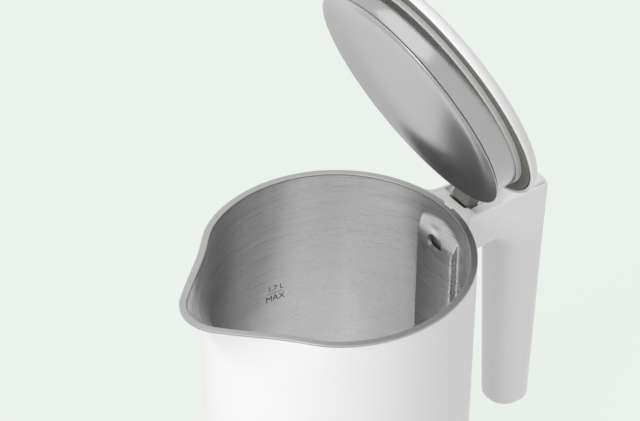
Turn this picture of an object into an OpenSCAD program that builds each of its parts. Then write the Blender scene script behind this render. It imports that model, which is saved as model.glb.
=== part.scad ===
// Electric kettle on its power base: a steel-lined vessel with a short spout, a handle that hangs
// from one arm, and a lid on a hinge behind the rim, drawn standing open.
// The origin is on the vessel's axis, on the table. +Z is up, +X points to the handle.

/* [Vessel] */
// Outer radius of the vessel and its steel rim
body_r = 75; // [74:0.5:76]
// Height of the rim above the table
rim_z = 233; // [230:1:236]
// Wall of the outer plastic shell
shell_wall = 2.2; // [1.8:0.1:2.4]
// Sheet thickness of the steel liner
liner_wall = 0.7; // [0.6:0.1:0.8]
// Width of the flat steel band round the mouth
rim_w = 3.7; // [3.5:0.1:4]
// Height of the liner's floor above the table
floor_z = 50; // [48:1:52]

/* [Spout] */
// How far the lip reaches beyond the vessel
spout_reach = 20.3; // [18:0.5:22]
// Radius of the lip's nose, seen from above
spout_r = 23.1; // [21:0.5:24]
// Depth of the spout's groove below the rim
spout_depth = 36; // [33:1:38]

/* [Steam column] */
// Half the width of the flat column that stands out of the liner's rear wall
column_half = 16.2; // [15:0.2:17]
// Distance of the column's flat face from the axis
column_x = 65.3; // [65:0.1:65.6]
// Drop from the rim to the ridge between the face and the shoulder
ridge_drop = 21.4; // [21:0.2:22]
// Slope of the shoulder above the ridge
shoulder_angle = 64; // [62:1:66]
// Width of the steam hole across the ridge
steam_hole_w = 12.7; // [11:0.1:14]
// Height of the steam hole
steam_hole_h = 7.6; // [6.6:0.2:8]

/* [Handle] */
// Rear face of the handle, measured from the axis
handle_x = 132.7; // [131:0.5:134]
// Half the width of the arm at its rear end
arm_half = 15.5; // [15:0.5:16]
// Depth of the arm below the rim
arm_drop = 27; // [26:1:29]
// Finger side of the grip where it leaves the arm, measured from the axis
grip_x = 105.2; // [104:0.2:107]
// How far the grip's finger side draws back towards its lower end
grip_taper = 5.4; // [4.6:0.2:6]
// How far the grip's back leans out towards its lower end
grip_lean = 4.2; // [3.4:0.2:5]
// Height of the grip's free lower end above the table
grip_end_z = 70; // [68:1:75]

/* [Lid] */
// Angle at which the lid stands open
lid_angle = 67; // [60:1:68]
// Distance of the lid's hinge from the axis
hinge_x = 96.3; // [96:0.1:96.8]
// Drop from the rim to the hinge
hinge_drop = 3; // [2.8:0.1:3.2]
// Outer radius of the lid's cover
cover_r = 75; // [74:0.5:75]
// Height of the closed cover's flat edge above the rim
cover_h = 7; // [6.8:0.1:7.4]
// Radius of the steel plug at its lower edge
plug_r = 68.6; // [68:0.1:68.6]
// Depth of the plug below the rim
plug_depth = 17.5; // [17:0.1:17.5]
// Outer radius of the seal
seal_r = 72.3; // [72.1:0.1:72.6]

/* [Power base] */
// Radius of the power base
base_r = 79; // [78:0.5:82]
// Height of the power base's top face
base_top = 18; // [17.5:0.5:18.5]
// Height of the rubber feet
foot_h = 2; // [1.5:0.5:2.5]

/* [Hidden] */
$fn = 96;
e = 0.01;
run_gap = 0.35;                    // gap between parts that move past each other
liner_r = body_r - rim_w;          // inside radius of the liner
kettle_z = base_top + 0.4;         // underside of the lifted kettle
shell_z = kettle_z + 2;            // lower edge of the outer shell
band_t = 1;                        // thickness of the rim band
band_z = rim_z - band_t;
nose_x = body_r + spout_reach - spout_r;   // centre of the lip's nose
flank_gap = body_r - 9 - spout_r + rim_w;  // the flanks keep this distance from the nose's circle
hinge_z = rim_z - hinge_drop;
pin_r = 1.2;                       // hinge pin
bore_gap = 0.06;                   // radial clearance of a turning pin
neck_r = 15.2;                     // radius of the lid's swan neck about the hinge
neck_half = 6.7;                   // half the width of the swan neck
slot_half = neck_half + 0.9;
deck_half = 14.3;
step_x = 82.4;                     // where the deck steps down behind its front rail
step_h = 1.6;
button_x = 120;                    // front edge of the release button
button_half = 13.6;
button_travel = 2.5;
button_lip = 5.5;                  // depth of the button's rear lip below the rim
shelf_z = rim_z - 19;              // shelf inside the handle that carries the button's spring
latch_z = rim_z - 12;              // underside of the latch bolt
latch_half = 4;
guide_z = latch_z - 1.8;           // underside of the latch guide
deck_low = rim_z - 2.9;            // underside of the deck
plug_shift = -1.7;                 // the plug sits this far off the lid's centre, clear of the column
duct_x = column_x + 1.3;           // front of the steam duct
duct_depth = 3.8;
duct_half = 8.4;
boss_r = 67;                       // circle of the body screws
base_boss_r = 62;                  // circle of the base screws
feet_r = 66;
gland_z = 9;
screw_r = 1.3;
grip_r = 11;                       // rounding of the grip's finger side
grip_top = rim_z - arm_drop + 6;   // the grip grows out of the arm from here
grip_half = 15.4;                  // half the width of the grip at its top
end_half = 12.9;                   // and at its lower end
panel_half = 6;                    // half the width of the panel in the grip's back
panel_z = grip_end_z + 7;
white = [0.93, 0.94, 0.93];
grey = [0.42, 0.43, 0.40];
steel = [0.72, 0.72, 0.71];
dark = [0.16, 0.16, 0.17];
brass = [0.78, 0.62, 0.32];

function arc(cx, cz, r, a0, a1, n) = [for (i = [0:n]) let (a = a0 + (a1 - a0) * i / n)
    [cx + r * cos(a), cz + r * sin(a)]];

// Closed tube of radius r along the points, with its rings square to the path.
module tube_along(path, r, sides = 8) {
    n = len(path);
    function dir(i) = let (d = path[min(i + 1, n - 1)] - path[max(i - 1, 0)]) d / norm(d);
    function side(d) = let (c = cross(d, abs(d[2]) > 0.9 ? [1, 0, 0] : [0, 0, 1])) c / norm(c);
    rings = [for (i = [0:n - 1]) let (d = dir(i), u = side(d), v = cross(d, u))
        for (k = [0:sides - 1]) path[i] + r * (cos(360 * k / sides) * u + sin(360 * k / sides) * v)];
    walls = [for (i = [0:n - 2]) for (k = [0:sides - 1])
        let (m = (k + 1) % sides, a = i * sides, b = a + sides)
        each [[a + k, b + k, b + m], [a + k, b + m, a + m]]];
    polyhedron(rings, concat([[for (k = [0:sides - 1]) k]], walls,
        [[for (k = [sides - 1:-1:0]) (n - 1) * sides + k]]));
}

// Spring coil that stands on z = 0.
module coil(r, wire, height, turns) {
    steps = 14 * turns;
    tube_along([for (i = [0:steps]) let (a = 360 * turns * i / steps)
        [r * cos(a), r * sin(a), wire + (height - 2 * wire) * i / steps]], wire);
}

module ring(r_out, r_in, z0, z1) {
    translate([0, 0, z0]) difference() {
        cylinder(r = r_out, h = z1 - z0);
        translate([0, 0, -1]) cylinder(r = r_in, h = z1 - z0 + 2);
    }
}

// Pin, bore or rod along Y at (x, z).
module across(x, z, r, y0, y1) {
    translate([x, y0, z]) rotate([-90, 0, 0]) cylinder(r = r, h = y1 - y0);
}

module around(r, n, start = 0) {
    for (i = [0:n - 1]) rotate(start + 360 * i / n) translate([r, 0, 0]) children();
}

module side_plate(points, half) {
    translate([0, half, 0]) rotate([90, 0, 0]) linear_extrude(2 * half) polygon(points);
}

module screw(length, head_r, head_h) {
    cylinder(r = screw_r, h = length);
    translate([0, 0, -head_h]) difference() {
        cylinder(r = head_r, h = head_h);
        for (a = [0, 90]) rotate(a) translate([-head_r * 0.6, -0.4, -e])
            cube([head_r * 1.2, 0.8, head_h * 0.5]);
    }
}

// Corners of the spout's straight flanks at one height, where its nose has radius r.
function flanks(r, z) = let (a = acos(flank_gap / nose_x), root = r + flank_gap, nose = r - 0.5)
    [[-root * cos(a), root * sin(a), z], [-nose_x - nose * cos(a), nose * sin(a), z],
    [-nose_x - nose * cos(a), -nose * sin(a), z], [-root * cos(a), -root * sin(a), z]];

// One storey of the spout, from the nose radius r0 at z0 up to r1 at z1.
module spout_storey(z0, r0, z1, r1) {
    translate([-nose_x, 0, z0]) cylinder(r1 = r0, r2 = r1, h = z1 - z0);
    polyhedron(concat(flanks(r0, z0), flanks(r1, z1)),
        [[3, 2, 1, 0], [4, 5, 6, 7], [0, 1, 5, 4], [1, 2, 6, 5], [2, 3, 7, 6], [3, 0, 4, 7]]);
}

// Spout that grows out of the wall, flaring towards the rim. grow moves it outwards.
module spout(grow, top) {
    waist = rim_z - spout_depth * 0.3;
    foot = rim_z - spout_depth - grow;
    waist_r = spout_r - rim_w - spout_reach * 0.55 + grow;
    rim_r = spout_r - rim_w + grow;
    flare = (rim_r - waist_r) / (rim_z - waist);
    spout_storey(waist, waist_r, top, rim_r + flare * (top - rim_z));
    spout_storey(foot, 1.5 + 0.6 * grow, waist, waist_r);
}

// Column that stands out of the liner's rear wall, before the steam duct. inset shrinks it.
module column(inset) {
    half = column_half - inset;
    face = column_x + inset;
    edge = 1.8;                        // rounding of the face's long edges
    low = floor_z - 12;
    top = rim_z - 4;
    difference() {
        union() {
            translate([face + edge, -half, low]) cube([body_r - face - edge, 2 * half, top - low]);
            translate([face, -half + edge, low]) cube([8, 2 * (half - edge), top - low]);
            for (y = [-1, 1]) translate([face + edge, y * (half - edge), low])
                cylinder(r = edge, h = top - low);
        }
        translate([face, -30, rim_z - ridge_drop]) rotate([0, 90 - shoulder_angle, 0])
            translate([-40, 0, 0]) cube([40, 60, 60]);
    }
}

// Frame in the middle of the steam hole, with +Z out of it.
module steam_hole_frame() {
    translate([column_x + 0.6, 0, rim_z - ridge_drop - 1.3])
        rotate([0, -(90 + shoulder_angle) / 2, 0]) children();
}

module steam_slot(w, h, z0, z1) {
    reach = (w - h) / 2;
    for (y = [-reach, reach]) translate([0, y, z0]) cylinder(d = h, h = z1 - z0);
    translate([-h / 2, -reach, z0]) cube([h, 2 * reach, z1 - z0]);
}

module can(r, z0, z1, corner) {
    rotate_extrude() polygon(concat([[0, z1], [0, z0]],
        arc(r - corner, z0 + corner, corner, -90, 0, 8), [[r, z1]]));
}

// ---- power base ----

module base_shell() color(white) {
    difference() {
        rotate_extrude() polygon(concat([[0, foot_h + 1], [base_r, foot_h + 1]],
            arc(base_r - 5, base_top - 5, 5, 0, 90, 6), [[0, base_top]]));
        rotate_extrude() polygon(concat([[0, foot_h], [base_r - 2.2, foot_h]],
            arc(base_r - 5, base_top - 5.4, 2.8, 0, 90, 4), [[0, base_top - 2.6]]));
        translate([0, 0, base_top - 4]) cylinder(r = 15.3, h = 6);
        translate([base_r - 10, 0, gland_z]) rotate([0, 90, 0]) cylinder(r = 4.6, h = 14);
    }
    around(base_boss_r, 4, 45) ring(3.6, screw_r + 0.04, foot_h + 2.5, base_top - 2.6 + e);
}

module base_plate() color(white) {
    difference() {
        translate([0, 0, foot_h]) cylinder(r = base_r - 2.6, h = 2.4);
        around(base_boss_r, 4, 45) translate([0, 0, -1]) cylinder(r = screw_r + 0.3, h = 9);
        around(base_boss_r, 4, 45) translate([0, 0, foot_h - 1]) cylinder(r = 3.2, h = 2);
        around(feet_r, 4) translate([0, 0, foot_h - 1]) cylinder(r = 5.2, h = 2);
        translate([base_r - 9.3, -6, foot_h + 1.2]) cube([8, 12, 3]);
    }
    cylinder(r = 18, h = foot_h + 1);
    for (a = [0:60:300]) rotate(a) translate([22, -0.8, foot_h + 2.4 - e]) cube([30, 1.6, 5]);
    ring(22.8, 21.2, foot_h + 2.4 - e, foot_h + 9);
}

module base_feet() color(dark) around(feet_r, 4) {
    cylinder(r1 = 6.4, r2 = 7, h = foot_h);
    cylinder(r = 5.1, h = foot_h + 0.98);
}

module base_screws() color(steel) around(base_boss_r, 4, 45)
    translate([0, 0, foot_h + 1]) screw(9, 2.8, 0.9);

module base_connector() color(dark) difference() {
    union() {
        translate([0, 0, 6]) cylinder(r = 15, h = 25);
        translate([0, 0, 6]) cylinder(r = 20, h = 7);
    }
    translate([0, 0, 17]) cylinder(r = 3.2, h = 20);
    ring(10.5, 7, 17, 40);
}

module base_contacts() color(brass) {
    ring(10.4, 9.7, 17.05, 29);
    ring(3.1, 2.6, 17.05, 29);
}

module cord_gland() color(dark) translate([base_r - 9, 0, gland_z]) rotate([0, 90, 0]) difference() {
    union() {
        cylinder(r = 5.6, h = 4);
        cylinder(r = 4.5, h = 16);
        for (i = [0:2]) translate([0, 0, 10.5 + 2 * i]) cylinder(r = 5.4 - 0.2 * i, h = 1.2);
    }
    translate([0, 0, -1]) cylinder(r = 2.9, h = 20);
}

// ---- vessel ----

module outer_shell() color(white) {
    difference() {
        union() {
            translate([0, 0, shell_z]) cylinder(r = body_r, h = band_z - shell_z);
            spout(rim_w, band_z);
        }
        translate([0, 0, shell_z - 1]) cylinder(r = body_r - shell_wall, h = rim_z);
        spout(rim_w - shell_wall, band_z + 1);
        translate([body_r - 8, -9, 29]) cube([12, 18, 12.5]);
        translate([60, 0, 45]) rotate([0, 90, 0]) cylinder(r = 2.3, h = 20);
    }
    around(boss_r, 3, 60) difference() {
        union() {
            translate([0, 0, shell_z + 3]) cylinder(r = 3.6, h = 14);
            translate([0, -1.2, shell_z + 3]) cube([body_r - shell_wall - boss_r + 0.5, 2.4, 14]);
        }
        translate([0, 0, shell_z]) cylinder(r = screw_r + 0.04, h = 15);
    }
}

module liner() color(steel) difference() {
    union() {
        can(liner_r + liner_wall, floor_z - liner_wall, band_z, 6.7);
        spout(liner_wall, band_z);
    }
    difference() {
        union() {
            can(liner_r, floor_z, rim_z, 6);
            spout(0, band_z + 1);
        }
        column(0);
    }
    column(liner_wall);
    steam_hole_frame() steam_slot(steam_hole_w, steam_hole_h, -4, 6);
}

module rim_outline(grow) {
    circle(r = liner_r + grow);
    translate([-nose_x, 0]) circle(r = spout_r - rim_w + grow);
    polygon([for (p = flanks(spout_r - rim_w + grow, 0)) [p[0], p[1]]]);
}

module rim_band() color(steel) translate([0, 0, band_z]) linear_extrude(band_t) difference() {
    rim_outline(rim_w);
    rim_outline(0);
    translate([body_r - 1.6, -3.4]) square([4, 6.8]);
}

module bottom_cover() color(white) difference() {
    union() {
        translate([0, 0, kettle_z]) cylinder(r = body_r - 0.6, h = 1.9);
        translate([0, 0, kettle_z]) cylinder(r = body_r - shell_wall - 0.1, h = 2.6);
        ring(20.4, 18.2, kettle_z + 1, kettle_z + 4.4);
    }
    translate([0, 0, kettle_z - 1]) cylinder(r = 18.2, h = 20);
    around(boss_r, 3, 60) translate([0, 0, kettle_z - 1]) cylinder(r = screw_r + 0.3, h = 9);
    around(boss_r, 3, 60) translate([0, 0, kettle_z - 1]) cylinder(r = 3.1, h = 2);
}

module bottom_screws() color(steel) around(boss_r, 3, 60)
    translate([0, 0, kettle_z + 1]) screw(12, 2.7, 0.9);

module heating_plate() color([0.8, 0.8, 0.82])
    translate([0, 0, floor_z - liner_wall - 4.5]) cylinder(r = 51, h = 4.5);

module heating_element() color([0.6, 0.58, 0.55])
    translate([0, 0, floor_z - liner_wall - 8.05]) rotate(30) rotate_extrude(angle = 300)
        translate([38, 0]) circle(r = 3.4, $fn = 48);

module element_terminals() color(brass) for (a = [30.6, 329.4]) rotate(a) translate([38, 0, 0]) {
    translate([0, 3.2 * sign(a - 180), floor_z - 18]) cylinder(r = 1.7, h = 10);
}

module thermal_control() color(dark) difference() {
    union() {
        ring(31, 17.8, kettle_z + 5, floor_z - 15.6);
        translate([-34, -14, kettle_z + 5]) cube([12, 28, 10]);
    }
    for (a = [-35, 35]) rotate(a) translate([33, 0, kettle_z]) cylinder(r = 4.6, h = 30);
    translate([-26, 0, floor_z - 16.6]) cylinder(r = 2, h = 4);
}

module bimetal_disc() color([0.7, 0.66, 0.6]) translate([-26, 0, floor_z - 15.5]) {
    cylinder(r = 7.5, h = 0.5);
    cylinder(r = 1.6, h = 1.2);
}

module kettle_connector() color(dark) difference() {
    translate([0, 0, kettle_z + 0.3]) cylinder(r = 17.6, h = 17.6);
    translate([0, 0, kettle_z - 1]) cylinder(r = 15.6, h = 15);
    ring(8.96, 7.54, kettle_z, kettle_z + 17);
    cylinder(r = 2.26, h = 40);
}

module connector_pins() color(brass) {
    ring(8.9, 7.6, 23, kettle_z + 16.9);
    translate([0, 0, 23]) cylinder(r = 2.2, h = kettle_z - 4);
}

// Flat duct behind the liner, closed above the steam hole and open into the switch housing.
module steam_duct() color([0.6, 0.6, 0.59]) difference() {
    wall = 0.8;
    low = 40;
    top = rim_z - ridge_drop;
    translate([duct_x, -duct_half, low]) cube([duct_depth, 2 * duct_half, top - low]);
    translate([duct_x + wall, -duct_half + wall, low - 1])
        cube([duct_depth - 2 * wall, 2 * (duct_half - wall), top - wall - low + 1]);
    steam_hole_frame() steam_slot(steam_hole_w, steam_hole_h, -2.6, 6);
}

module steam_collar() color(dark) difference() {
    translate([duct_x - 1.2, -duct_half - 1.2, 42]) cube([duct_depth + 2, 2 * duct_half + 2.4, 4]);
    translate([duct_x - 0.04, -duct_half - 0.04, 41]) cube([duct_depth + 0.08, 2 * duct_half + 0.08, 6]);
}

module switch_housing() color(dark) difference() {
    translate([54, -12, 24]) cube([16.5, 24, 17.9]);
    translate([56, -10, 26]) cube([20, 20, 13.5]);
    translate([duct_x - 0.3, -duct_half - 0.3, 38]) cube([10, 2 * duct_half + 0.6, 10]);
    across(66, 35, 1.3, -20, 20);
}

module switch_lever() color([0.86, 0.87, 0.86]) difference() {
    union() {
        across(66, 35, 3.2, -8, 8);
        translate([60, -4, 34]) cube([6, 8, 2]);
        translate([66, -8, 33.4]) cube([13, 16, 3.2]);
        side_plate([[77, 33.4], [86, 30.6], [88, 31.4], [88.4, 33], [87, 34.6], [79, 37], [77, 36.6]], 8);
    }
    across(66, 35, 1.2 + bore_gap, -20, 20);
}

module switch_pin() color(steel) across(66, 35, 1.2, -12.4, 12.4);

module switch_spring() color(steel) translate([60.8, 0, 26.02]) coil(2, 0.3, 6.4, 4);

module indicator_lamp() color([0.2, 0.35, 0.9]) translate([71.3, 0, 45]) rotate([0, 90, 0])
    cylinder(r = 2.25, h = body_r - 70.9);

// ---- handle ----

// Arm and grip, drawn smaller by inset for the hollow inside.
module handle_form(inset) {
    arm_low = 6;
    arm_high = 2;
    hull() {
        for (y = [-1, 1]) {
            for (p = [[68, arm_half + 1.5], [handle_x - arm_high, arm_half]])
                translate([p[0], y * (p[1] - arm_high), rim_z - arm_high])
                    sphere(r = max(arm_high - inset, 0.1), $fn = 24);
            for (p = [[68, arm_half + 1.5], [handle_x - arm_low, arm_half]])
                translate([p[0], y * (p[1] - arm_low), rim_z - arm_drop + arm_low])
                    sphere(r = arm_low - inset, $fn = 32);
        }
    }
    hull() for (y = [-1, 1]) {
        translate([grip_x + grip_r, y * (grip_half - grip_r), grip_top]) sphere(r = grip_r - inset, $fn = 32);
        translate([back_at(grip_top) - 4, y * (grip_half - 4), grip_top]) sphere(r = 4 - inset, $fn = 32);
        for (x = [grip_x + grip_taper + grip_r, back_at(grip_end_z) - grip_r])
            translate([x, y * (end_half - grip_r), grip_end_z + inset]) grip_foot(grip_r - inset);
    }
}

// Back of the grip at a height, measured from the axis.
function back_at(z) = handle_x - 0.4 + grip_lean * (grip_top - z) / (grip_top - grip_end_z);

module grip_foot(r) {
    edge = 2.8;
    rotate_extrude($fn = 32) polygon(concat([[0, 0]], arc(r - edge, edge, edge, -90, 0, 3), [[0, edge]]));
}

module inner_corner() {
    r = 10;
    z = rim_z - arm_drop;
    difference() {
        translate([grip_x - r, -6, z - r]) cube([r + 2.5, 12, r + 2]);
        across(grip_x - r, z - r, r, -20, 20);
    }
}

module handle_shell() color(white) difference() {
    union() {
        difference() {
            union() {
                handle_form(0);
                inner_corner();
            }
            handle_form(2.2);
        }
        translate([grip_x + 4, -arm_half + 1.8, shelf_z - 2])
            cube([handle_x - grip_x - 6.6, 2 * arm_half - 3.6, 2]);
    }
    translate([0, 0, -1]) cylinder(r = body_r + 0.02, h = rim_z + 10);
    translate([50, -deck_half, rim_z - 3]) cube([button_x - 50, 2 * deck_half, 10]);
    translate([button_x - e, -button_half - 0.3, rim_z - button_lip - button_travel - run_gap])
        cube([40, 2 * button_half + 0.6, 20]);
    back_slot(0.1);
}

// Place of the panel in the grip's back, grown by gap.
module back_slot(gap) {
    translate([handle_x - 4, -panel_half - gap, panel_z - gap])
        cube([9, 2 * (panel_half + gap), grip_top - 3 - panel_z + 2 * gap]);
}

module handle_back() color(white) {
    difference() {
        intersection() {
            handle_form(0);
            back_slot(0);
        }
        handle_form(2.2);
    }
    for (z = [panel_z + 15, panel_z + 111])
    translate([back_at(z) - 9, 0, z]) rotate([0, 90, 0]) difference() {
        cylinder(r = 3.4, h = 7.2);
        translate([0, 0, -1]) cylinder(r = screw_r + 0.04, h = 7.4);
    }
}

module handle_screws() color(steel) for (z = [panel_z + 15, panel_z + 111])
    translate([back_at(z) - 9.1, 0, z]) rotate([0, 90, 0]) screw(6.4, 2.4, 1.4);

module arm_deck() color(white) difference() {
    union() {
        side_plate([[70, rim_z], [step_x, rim_z], [step_x, rim_z - step_h], [113, rim_z],
            [button_x - 0.4, rim_z], [button_x - 0.4, deck_low], [70, deck_low]], deck_half - 0.1);
        for (y = [-1, 1]) translate([hinge_x - 4, y * 12.6 - 1.5, hinge_z - 5]) cube([8, 3, 5.5]);
        for (y = [-1, 1]) translate([107, y * (latch_half + run_gap + 0.75) - 0.75, guide_z])
            cube([9, 1.5, deck_low + 0.4 - guide_z]);
        translate([107, -latch_half - 1.5, guide_z])
            cube([9, 2 * latch_half + 3, latch_z - run_gap - guide_z]);
    }
    difference() {
        translate([0, 0, -1]) cylinder(r = body_r + 0.05, h = rim_z + 10);
        translate([body_r - 1.5, -3.3, rim_z - band_t]) cube([4, 6.6, 5]);
    }
    translate([80, -slot_half, rim_z - 10]) cube([24.5, 2 * slot_half, 20]);
    across(hinge_x, hinge_z, pin_r + 0.02, -30, 30);
}

module hinge_pin() color(steel) across(hinge_x, hinge_z, pin_r, -13.4, 13.4);

// Torsion coil round the pin, in a pocket of the swan neck.
module hinge_spring() color(steel)
    translate([hinge_x, -2.7, hinge_z]) rotate([-90, 0, 0]) coil(2.1, 0.35, 5.4, 4);

module lid_latch() color(dark) difference() {
    union() {
        translate([105.4, -latch_half, latch_z]) cube([9, 2 * latch_half, 4]);
        translate([114, -2, latch_z]) cube([4.5, 4, 2.2]);
    }
    translate([105.4, -10, latch_z - 1]) rotate([0, -35, 0]) translate([-10, 0, 0]) cube([10, 20, 3]);
}

module release_button() color(white) {
    side_plate([[button_x, rim_z - 2], [button_x, rim_z - 0.2], [button_x + 0.8, rim_z + 0.1],
        [127, rim_z + 2.2], [130.5, rim_z + 3], [handle_x - 1.4, rim_z + 2.6], [handle_x - 0.6, rim_z + 1],
        [handle_x - 0.4, rim_z - button_lip], [handle_x - 2.2, rim_z - button_lip],
        [handle_x - 2.4, rim_z - 2]], button_half);
    translate([122, -2.5, rim_z - 6]) cube([5, 5, 5]);
}

module button_spring() color(steel) translate([124.5, 0, shelf_z]) coil(2, 0.3, 12.7, 5);

// ---- lid, drawn closed and then swung open about its hinge ----

module swung_open() {
    translate([hinge_x, 0, hinge_z]) rotate([0, lid_angle, 0]) translate([-hinge_x, 0, -hinge_z]) children();
}

module lid_cover() color(white) swung_open() difference() {
    union() {
        rotate_extrude() translate([0, rim_z]) polygon(concat(
            arc(cover_r - 6, cover_h - 6, 6, 0, 90, 8), [[45, cover_h + 1.3], [0, cover_h + 2]],
            [[0, cover_h], [45, cover_h - 0.8]], arc(cover_r - 6, cover_h - 6, 4, 90, 0, 6),
            [[cover_r - 2, 0.5], [cover_r, 0.5]]));
        side_plate([for (p = [[70, 5], [70, 6.9], [84, 6.6], [92, 5.9], [95.6, 4.6], [96, 3.4], [94, 3.4],
            [84, 5]]) [p[0], rim_z + p[1]]], 12.5);
        around(48, 3, 60) translate([0, 0, rim_z + 4.95]) cylinder(r = 3.4, h = cover_h - 5);
    }
    around(48, 3, 60) translate([0, 0, rim_z + 4]) cylinder(r = screw_r + 0.04, h = 3.2);
    translate([68, -neck_half - 0.1, rim_z - 1]) cube([10, 2 * neck_half + 0.2, 5.95]);
}

module lid_frame() color(grey) swung_open() difference() {
    union() {
        ring(cover_r - 5.5, 28, rim_z + 2.9, rim_z + 4.9);
        side_plate(concat([[60, rim_z + 2.9], [60, rim_z + 4.9], [78, rim_z + 4.85], [hinge_x, rim_z + 2.4]],
            [[hinge_x + 3.4, rim_z - 0.6], [hinge_x + 7.4, rim_z - 3], [hinge_x + 7, rim_z - 6]],
            arc(hinge_x, hinge_z, neck_r, 235, 172, 10), [[79.6, rim_z + 1], [77, rim_z + 2.4],
            [73, rim_z + 2.9]]), neck_half);
    }
    across(hinge_x, hinge_z, pin_r + bore_gap, -20, 20);
    across(hinge_x, hinge_z, 3.1, -3.1, 3.1);
    translate([hinge_x, -3.1, hinge_z - 1.6]) cube([12, 6.2, 2.6]);
    around(48, 3, 60) translate([0, 0, rim_z]) cylinder(r = screw_r + 0.2, h = 9);
}

module lid_seal() color(grey) swung_open() difference() {
    rotate_extrude() translate([0, rim_z]) polygon([[66.4, 0.9], [66.4, 2.8], [seal_r - 0.6, 2.8],
        [seal_r, 2.2], [seal_r, 0.5], [seal_r - 0.5, 0.3], [67.2, 0.3]]);
}

module lid_pan() color(steel) swung_open() translate([plug_shift, 0, 0]) {
    t = 0.55;
    wall = [[64.3, 2.85], [64.3, 0], [66.4, -2.6], [66.9, -12]];
    edge = [[plug_r, -plug_depth + 0.9], [plug_r, -plug_depth + 0.4], [plug_r - 0.6, -plug_depth]];
    dish = [[66.2, -plug_depth + 1.7], [60, -plug_depth + 3.6],
        [46, -plug_depth + 4.6], [0, -plug_depth + 5.2]];
    rotate_extrude() translate([0, rim_z]) polygon(concat([[62.5, 2.85]], wall, edge, dish,
        [for (i = [3:-1:0]) dish[i] + [0, t]], [for (i = [3:-1:1]) wall[i] - [t, 0.1]],
        [[wall[0][0] - t, 2.4], [62.5, 2.4]]));
}

module lid_screws() color(steel) swung_open() around(48, 3, 60)
    translate([0, 0, rim_z + 2.85]) screw(3.9, 2.6, 1.4);

base_shell();
base_plate();
base_feet();
base_screws();
base_connector();
base_contacts();
cord_gland();
outer_shell();
liner();
rim_band();
bottom_cover();
bottom_screws();
heating_plate();
heating_element();
element_terminals();
thermal_control();
bimetal_disc();
kettle_connector();
connector_pins();
steam_duct();
steam_collar();
switch_housing();
switch_lever();
switch_pin();
switch_spring();
indicator_lamp();
handle_shell();
handle_back();
handle_screws();
arm_deck();
hinge_pin();
hinge_spring();
lid_latch();
release_button();
button_spring();
lid_cover();
lid_frame();
lid_seal();
lid_pan();
lid_screws();
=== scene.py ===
import math

import bpy
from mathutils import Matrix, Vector


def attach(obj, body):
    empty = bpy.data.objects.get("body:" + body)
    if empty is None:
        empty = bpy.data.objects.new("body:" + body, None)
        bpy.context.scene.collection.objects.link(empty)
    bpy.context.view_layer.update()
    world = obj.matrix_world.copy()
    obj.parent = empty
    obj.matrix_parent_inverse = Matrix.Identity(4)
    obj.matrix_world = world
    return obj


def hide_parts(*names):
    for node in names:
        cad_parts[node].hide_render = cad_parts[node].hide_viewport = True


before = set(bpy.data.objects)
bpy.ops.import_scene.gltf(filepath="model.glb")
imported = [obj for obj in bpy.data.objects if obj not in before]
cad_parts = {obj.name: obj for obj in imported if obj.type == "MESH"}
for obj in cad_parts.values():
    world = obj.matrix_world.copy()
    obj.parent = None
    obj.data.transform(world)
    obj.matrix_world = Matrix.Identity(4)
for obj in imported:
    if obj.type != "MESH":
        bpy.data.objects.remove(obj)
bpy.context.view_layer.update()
mm = 0.001
weldDistance = 0.000002
rimZ = 233.0                            # height of the rim, in millimetres as all sizes here
scene = bpy.context.scene
print("frame loaded")


def clearSelection():
    if bpy.context.mode != "OBJECT":
        bpy.ops.object.mode_set(mode="OBJECT")
    bpy.ops.object.select_all(action="DESELECT")


def takeUp(piece):
    clearSelection()
    piece.select_set(True)
    bpy.context.view_layer.objects.active = piece


# Selects the vertices that pass the test, then goes back to edit mode.
def pick(piece, test):
    bpy.ops.object.mode_set(mode="EDIT")
    bpy.ops.mesh.select_mode(type="VERT")
    bpy.ops.mesh.select_all(action="DESELECT")
    bpy.ops.object.mode_set(mode="OBJECT")
    for corner in piece.data.vertices:
        corner.select = test(corner.co)
    bpy.ops.object.mode_set(mode="EDIT")


def tidyFaces():
    bpy.ops.object.mode_set(mode="EDIT")
    bpy.ops.mesh.select_all(action="SELECT")
    bpy.ops.mesh.remove_doubles(threshold=weldDistance)
    bpy.ops.mesh.normals_make_consistent(inside=False)
    bpy.ops.object.mode_set(mode="OBJECT")


# Turns an outline of (radius, height) points about the vessel's axis.
def turned(name, outline, segments=240, closed=True):
    clearSelection()
    radius, height = outline[0]
    bpy.ops.mesh.primitive_circle_add(vertices=segments, radius=radius * mm, location=(0, 0, height * mm))
    piece = bpy.context.object
    piece.name = piece.data.name = name
    bpy.ops.object.transform_apply(location=True, rotation=True, scale=True)
    bpy.ops.object.mode_set(mode="EDIT")
    bpy.ops.mesh.select_all(action="SELECT")
    path = outline[1:] + ([outline[0]] if closed else [])
    for nextRadius, nextHeight in path:
        bpy.ops.mesh.extrude_region_move(TRANSFORM_OT_translate={"value": (0, 0, (nextHeight - height) * mm)})
        if nextRadius < 0.001:
            bpy.ops.mesh.merge(type="CENTER")
            break
        grow = nextRadius / radius
        bpy.ops.transform.resize(value=(grow, grow, 1), center_override=(0, 0, nextHeight * mm))
        radius, height = nextRadius, nextHeight
    tidyFaces()
    return piece


# Turns a solid whose outline starts and ends on the axis: the first point's ring is closed too.
def turnedSolid(name, outline, segments=240):
    piece = turned(name, outline[1:], segments, closed=False)
    takeUp(piece)
    radius, height = outline[1]
    pick(piece, lambda co: abs(co.z - height * mm) < 1e-6 and abs(co.xy.length - radius * mm) < 1e-5)
    lift = (outline[0][1] - height) * mm
    bpy.ops.mesh.extrude_region_move(TRANSFORM_OT_translate={"value": (0, 0, lift)})
    bpy.ops.mesh.merge(type="CENTER")
    tidyFaces()
    return piece


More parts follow.
